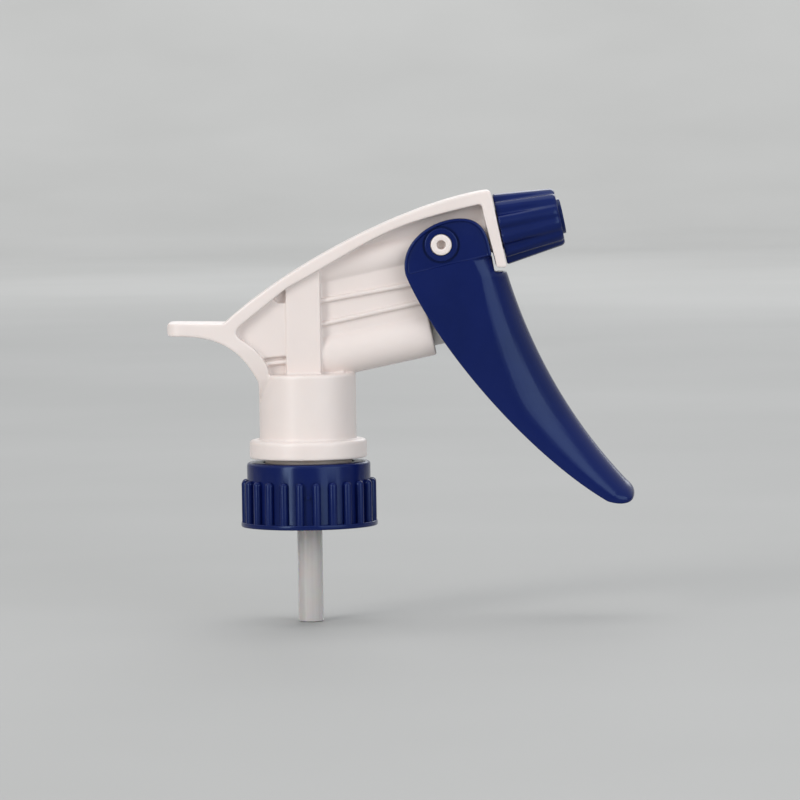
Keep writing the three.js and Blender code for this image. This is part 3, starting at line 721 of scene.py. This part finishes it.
def closure_rib(i):
    """One upright rib with a domed top, sunk in the wall."""
    arc = [(RIB_RADIUS * math.cos(a), RIB_TOP - RIB_RADIUS + RIB_RADIUS * math.sin(a))
           for a in (math.pi / 2 * k / 6 for k in range(7))]
    profile = [(0, BAND_TOP - 0.5), (RIB_RADIUS, BAND_TOP - 0.5)] + arc[:-1] + [(0, RIB_TOP)]
    rib = turned("rib", profile, 20, close=False)
    angle = 2 * math.pi * (i + 0.5) / RIB_COUNT
    out = CLOSURE_RIB_R - 0.1 - RIB_RADIUS
    return moved(rib, Matrix.Rotation(angle, 4, "Z") @ Matrix.Translation((out * MM, 0, 0)))


def gate_pip():
    """The moulding gate's mark between two ribs on the near side."""
    pip = rod("gate_pip", 0.48, CLOSURE_WALL_R - 0.5, CLOSURE_WALL_R + 0.55, edge=0.12, sides=24)
    place = Matrix.Translation((0, 0, -4.8 * MM)) @ Matrix.Rotation(math.pi / 2, 4, "X")
    return moved(pip, place)


def closure_thread():
    """The screw thread's ridge, which fades in and out."""
    pitch, turns, start, crest, per_turn = 4.23, 1.25, -9.6, 12.95, 72
    steps = int(turns * per_turn)
    rings = []
    for k in range(steps + 1):
        angle = 2 * math.pi * (k + 0.5) / per_turn
        z = start + pitch * k / per_turn
        fade = max(0.15, min(1.0, k / 7, (steps - k) / 7))
        tip = CLOSURE_BORE_R - (CLOSURE_BORE_R - crest) * fade
        section = [(CLOSURE_BORE_R + 0.3, z + 0.95), (CLOSURE_BORE_R + 0.3, z - 0.95),
                   (tip + 0.12, z - 0.5), (tip, z - 0.3), (tip, z + 0.3), (tip + 0.12, z + 0.5)]
        rings.append([(r * math.cos(angle), r * math.sin(angle), h) for r, h in section])
    return lofted("thread", rings)


def closure():
    """The screw closure: a cap with a hole for the neck, a thread inside and upright ribs outside."""
    profile = [
        (CLOSURE_BORE_R, CLOSURE_BOTTOM), (CLOSURE_RIB_R, CLOSURE_BOTTOM), (CLOSURE_RIB_R, BAND_TOP),
        (CLOSURE_WALL_R, BAND_TOP), (CLOSURE_WALL_R, CLOSURE_TOP), (CLOSURE_HOLE_R, CLOSURE_TOP),
        (CLOSURE_HOLE_R, CLOSURE_WEB), (CLOSURE_BORE_R, CLOSURE_WEB),
    ]
    edges = [0.2, 0.3, 0.35, 0.1, 0.9, 0.25, 0.1, 0.1]
    shell = turned("closure_shell", rounded(profile, edges), 144)
    whole = joined(shell, closure_thread(), gate_pip(), *[closure_rib(i) for i in range(RIB_COUNT)])
    whole.name = "closure_shell"
    return finish_piece(whole, "closure", "closure_cap", BLUE_CLOSURE)


def gasket():
    made = ring("gasket_ring", 9.0, 13.6, 0.0, 0.9, edge=0.15, sides=128)
    return finish_piece(made, "body", "closure_gasket", FOAM)


def neck_insert():
    """The adapter in the neck: flange, sleeve, dip tube socket and the inlet valve's seat and stem."""
    profile = [
        (3.1, -5), (4.3, -5), (4.3, 1.0), (13.0, 1.0), (13.0, 1.8), (10.6, 1.8), (10.6, 20), (9.6, 20),
        (9.6, 2.6), (4.3, 2.6), (4.3, 10), (3.4, 11), (3.4, 21.3), (2.5, 21.3), (2.5, 10.6), (1.3, 9.4),
        (1.3, 6), (3.1, 6),
    ]
    whole = turned("insert_turned", rounded(profile, 0.2, 3), 128)
    vent = moved(rod("vent", 0.8, 0, 3.5, sides=24), Matrix.Translation((-7 * MM, 0, 0)))
    whole = cut(whole, vent)
    whole.name = "insert_adapter"
    return finish_piece(whole, "body", "neck_insert", NATURAL)


def dip_tube():
    made = ring("dip_pipe", 2.25, 3.05, -36.0, 5.7, edge=0.12, sides=96)
    return finish_piece(made, "body", "dip_tube", TUBE)


# ---------------------------------------------------------------- valves


def steel_ball(name, z, body, node):
    work = bmesh.new()
    bmesh.ops.create_uvsphere(work, u_segments=40, v_segments=24, radius=2.0 * MM)
    bmesh.ops.translate(work, verts=work.verts, vec=(0, 0, z * MM))
    mesh = bpy.data.meshes.new(name)
    work.to_mesh(mesh)
    work.free()
    made = bpy.data.objects.new(name, mesh)
    bpy.context.scene.collection.objects.link(made)
    return finish_piece(made, body, node, BALL_STEEL)


def ball_stop():
    """The small ring with crossed bars that keeps the inlet ball in."""
    whole = ring("stop_ring", 1.7, 2.42, 14.4, 15.6, edge=0.1, sides=64)
    bar = [(-2.0, 14.4), (2.0, 14.4), (2.0, 15.1), (-2.0, 15.1)]
    across = moved(slab("bar", bar, 0.35), Matrix.Rotation(math.pi / 2, 4, "Z"))
    whole = joined(whole, slab("bar", bar, 0.35), across)
    whole.name = "stop_ring"
    return finish_piece(whole, "body", "inlet_ball_stop", NATURAL)


def outlet_seat():
    profile = [(1.3, 33.0), (2.8, 33.0), (2.8, 35.4), (2.3, 35.4), (1.3, 34.4)]
    made = turned("seat_ring", rounded(profile, [0.1, 0.15, 0.15, 0.05, 0.05]), 64)
    return finish_piece(made, "body", "outlet_valve_seat", NATURAL)


# ---------------------------------------------------------------- pump


def piston():
    """The hollow white rod, with two collars that hold the seals."""
    profile = [
        (0, -1), (2.75, -1), (2.75, -12), (3.5, -12), (3.5, -9.6), (4.4, -9.6), (4.4, -7.8), (3.5, -7.8),
        (3.5, -6.2), (4.4, -6.2), (4.4, -4.6), (3.5, -4.0),
    ]
    radii = [0, 0.2, 0.1, 0.1, 0.05, 0.2, 0.2, 0.05, 0.05, 0.2, 0.2, 0]
    # the rounded end that meets the trigger's pad
    dome = along([(3.5, 9.89), (3.5, 10.9), (2.0, 11.8), (0, 11.89)], 14)
    rod_profile = rounded(profile, radii, 5) + dome
    made = on_axis(turned("piston_rod", rod_profile, 96, close=False), PUMP_FACE)
    return finish_piece(made, "piston", "piston", PISTON_WHITE)


def cup_seal():
    profile = [(3.6, -11.7), (4.3, -12.1), (4.65, -12.1), (4.65, -11.4), (4.2, -9.9), (3.6, -9.9)]
    made = on_axis(turned("cup_seal", rounded(profile, 0.12), 96), PUMP_FACE)
    return finish_piece(made, "piston", "piston_cup_seal", RUBBER)


def o_ring(name, radius, section, at, start, body, node):
    profile = [(radius + section * math.cos(a), at + section * math.sin(a))
               for a in (2 * math.pi * k / 20 for k in range(20))]
    made = on_axis(turned(name, profile, 96), start)
    return finish_piece(made, body, node, RUBBER)


def return_spring():
    """A wire coil whose end turns lie close together, as on a ground spring."""
    coil_r, wire_r, start, end, turns = 2.25, 0.35, -25.1, -1.5, 8.5
    per_turn, around = 40, 12
    steps = int(turns * per_turn)
    closed = 0.75 * wire_r * 2  # rise over each end turn
    rings = []
    for k in range(steps + 1):
        turn = k / per_turn
        angle = 2 * math.pi * turn
        open_rise = (end - start - 2 * closed) / (turns - 2)
        if turn < 1:
            z = start + closed * turn
        elif turn > turns - 1:
            z = end - closed * (turns - turn)
        else:
            z = start + closed + open_rise * (turn - 1)
        section = []
        for i in range(around):
            a = 2 * math.pi * i / around
            r = coil_r + wire_r * math.cos(a)
            section.append((r * math.cos(angle), r * math.sin(angle), z - wire_r * math.sin(a)))
        rings.append(section)
    made = on_axis(lofted("spring_coil", rings), PUMP_FACE)
    finish_piece(made, "body", "return_spring", WIRE_STEEL)
    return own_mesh(made)


# ---------------------------------------------------------------- nozzle

NOZZLE_START, NOZZLE_FRONT, NOZZLE_REAR_R, NOZZLE_FRONT_R = -0.65, 14.2, 8.95, 7.1
NOZZLE_BORE_R, NOZZLE_BORE_DEPTH, LOBES, GROOVE = 5.2, 11.0, 12, 1.1


def nozzle():
    """The tapered grip, whose grooves fade out towards the front."""
    # closer together at both ends, where the edge is rounded
    stations = [0, 0.012, 0.03, 0.06] + [0.1 + 0.08 * k for k in range(11)] + [0.94, 0.965, 0.985, 1]
    sides = LOBES * 16
    rings = []
    for t in stations:
        edge = 0.35 * max(0.0, 1 - t / 0.03) ** 2 + 0.5 * max(0.0, (t - 0.94) / 0.06) ** 2
        radius = NOZZLE_REAR_R + (NOZZLE_FRONT_R - NOZZLE_REAR_R) * t - edge
        depth = GROOVE * (1 - t * 0.75)
        z = NOZZLE_START + (NOZZLE_FRONT - NOZZLE_START) * t
        ring_points = []
        for i in range(sides):
            angle = 2 * math.pi * i / sides
            at = radius - depth * ((1 + math.cos(angle * LOBES)) / 2) ** 2
            ring_points.append((at * math.cos(angle), at * math.sin(angle), z))
        rings.append(ring_points)
    whole = lofted("nozzle_grip", rings)
    whole = cut(whole, rod("bore", NOZZLE_BORE_R, NOZZLE_START - 1, NOZZLE_BORE_DEPTH),
                rod("bore", 4.65, NOZZLE_FRONT - 1.2, NOZZLE_FRONT + 1),
                rod("bore", 0.9, NOZZLE_BORE_DEPTH - 1, NOZZLE_FRONT))
    whole.name = "nozzle_grip"
    on_axis(whole, NOZZLE_REAR)
    return finish_piece(whole, "nozzle", "nozzle", BLUE_NOZZLE, 50)


def orifice_disc():
    """The round insert on the nozzle's front, dimpled around its spray hole."""
    front = NOZZLE_FRONT + 0.9
    profile = [(0.4, front - 1.8), (4.35, front - 1.8), (4.35, front), (1.4, front), (0.4, front - 0.8)]
    face = turned("orifice_face", rounded(profile, [0, 0.1, 0.3, 0.2, 0.05]))
    made = on_axis(face, NOZZLE_REAR)
    return finish_piece(made, "nozzle", "orifice_disc", BLUE_NOZZLE)


def spinner():
    """The swirl core with a groove along each side."""
    whole = rod("spinner_core", 2.35, 3.8, 8.8, edge=0.2, sides=64)
    slot = [(-0.4, 3.0), (0.4, 3.0), (0.4, 9.6), (-0.4, 9.6)]
    for side in (1, -1):
        cut(whole, moved(slab("slot", slot, 0.4), Matrix.Translation((side * 2.35 * MM, 0, 0))))
    whole.name = "spinner_core"
    on_axis(whole, NOZZLE_REAR)
    return finish_piece(whole, "body", "spinner", NATURAL)


# ---------------------------------------------------------------- camera, light and floor


def aimed(obj, place, target, roll=0.0):
    look = (Vector(target) - Vector(place)).normalized()
    obj.location = place
    obj.rotation_mode = "QUATERNION"
    obj.rotation_quaternion = look.to_track_quat("-Z", "Y") @ Matrix.Rotation(roll, 4, "Z").to_quaternion()
    return obj


def camera():
    """A long lens on the side, from a little above, rolled slightly."""
    data = bpy.data.cameras.new("camera")
    distance, width = 1335 * MM, 195.6 * MM
    data.sensor_width = 36.0
    data.lens = 36.0 * distance / width
    data.clip_start, data.clip_end = 0.05, 50
    made = bpy.data.objects.new("camera", data)
    bpy.context.scene.collection.objects.link(made)
    centre = Vector((22.58, 0, 17.74)) * MM
    rise = math.radians(3.3)
    place = centre + Vector((0, -math.cos(rise), math.sin(rise))) * distance
    aimed(made, place, centre, roll=math.radians(-0.9))
    bpy.context.scene.camera = made


def area_light(name, place, target, size, power, colour):
    data = bpy.data.lights.new(name, "AREA")
    data.shape = "RECTANGLE"
    data.size, data.size_y = size
    data.energy = power
    data.color = colour
    made = bpy.data.objects.new(name, data)
    bpy.context.scene.collection.objects.link(made)
    return aimed(made, place, target)


def light():
    middle = (0.02, 0, 0.02)
    area_light("key", (-1.15, -1.4, 0.65), middle, (0.6, 1.5), 17, (1.0, 0.98, 0.96))
    area_light("fill", (1.2, -1.4, 0.4), middle, (1.4, 1.3), 13, (0.92, 0.96, 1.0))
    area_light("top", (0.0, 0.3, 2.0), middle, (2.0, 1.6), 11, (1.0, 1.0, 1.0))
    area_light("rear", (0.5, 2.2, 1.2), middle, (1.6, 1.2), 12, (0.98, 0.99, 1.0))
    area_light("backdrop", (0.0, 2.4, 2.2), (0.0, 4.8, 1.3), (3.0, 1.0), 60, (1.0, 1.0, 1.0))
    world = bpy.data.worlds.new("studio")
    world.use_nodes = True
    background = world.node_tree.nodes["Background"]
    background.inputs["Color"].default_value = (0.95, 0.97, 1.0, 1)
    background.inputs["Strength"].default_value = 0.69
    bpy.context.scene.world = world


def floor():
    """A wide shallow bowl: flat under the object, rising far away to hide the horizon."""
    level = FLOOR_Z - 0.2
    profile = [(0, level)] + [(r, level) for r in (150, 400, 900, 1800, 3000)]
    profile += [(3000 + 2000 * math.sin(a), level + 2000 * (1 - math.cos(a)))
                for a in (math.radians(6 * k) for k in range(1, 12))]
    made = turned("floor", profile, 96, close=False)
    material, nodes, links, shader = new_material("floor")
    patches = noise(nodes, links, 3)
    colour = ramp(nodes, links, patches.outputs["Fac"], (0.40, 0.40, 0.39), (0.43, 0.43, 0.42))
    links.new(colour.outputs["Color"], shader.inputs["Base Color"])
    shader.inputs["Roughness"].default_value = 0.8
    made.data.materials.append(material)
    smooth_by_angle(made, 60)


# ---------------------------------------------------------------- everything

camera()
light()
floor()
bpy.context.scene.view_settings.view_transform = "Standard"

sprayer_body()
trigger()
closure()
gasket()
neck_insert()
dip_tube()
steel_ball("ball_inlet", 11.0, "inlet_valve", "inlet_ball")
steel_ball("ball_outlet", 36.0, "outlet_valve", "outlet_ball")
ball_stop()
outlet_seat()
piston()
cup_seal()
o_ring("wiper_ring", 4.1, 0.5, -7.0, PUMP_FACE, "piston", "piston_wiper_seal")
o_ring("nozzle_ring", 4.25, 0.65, 7.3, NOZZLE_REAR, "body", "nozzle_seal")
return_spring()
nozzle()
orifice_disc()
spinner()
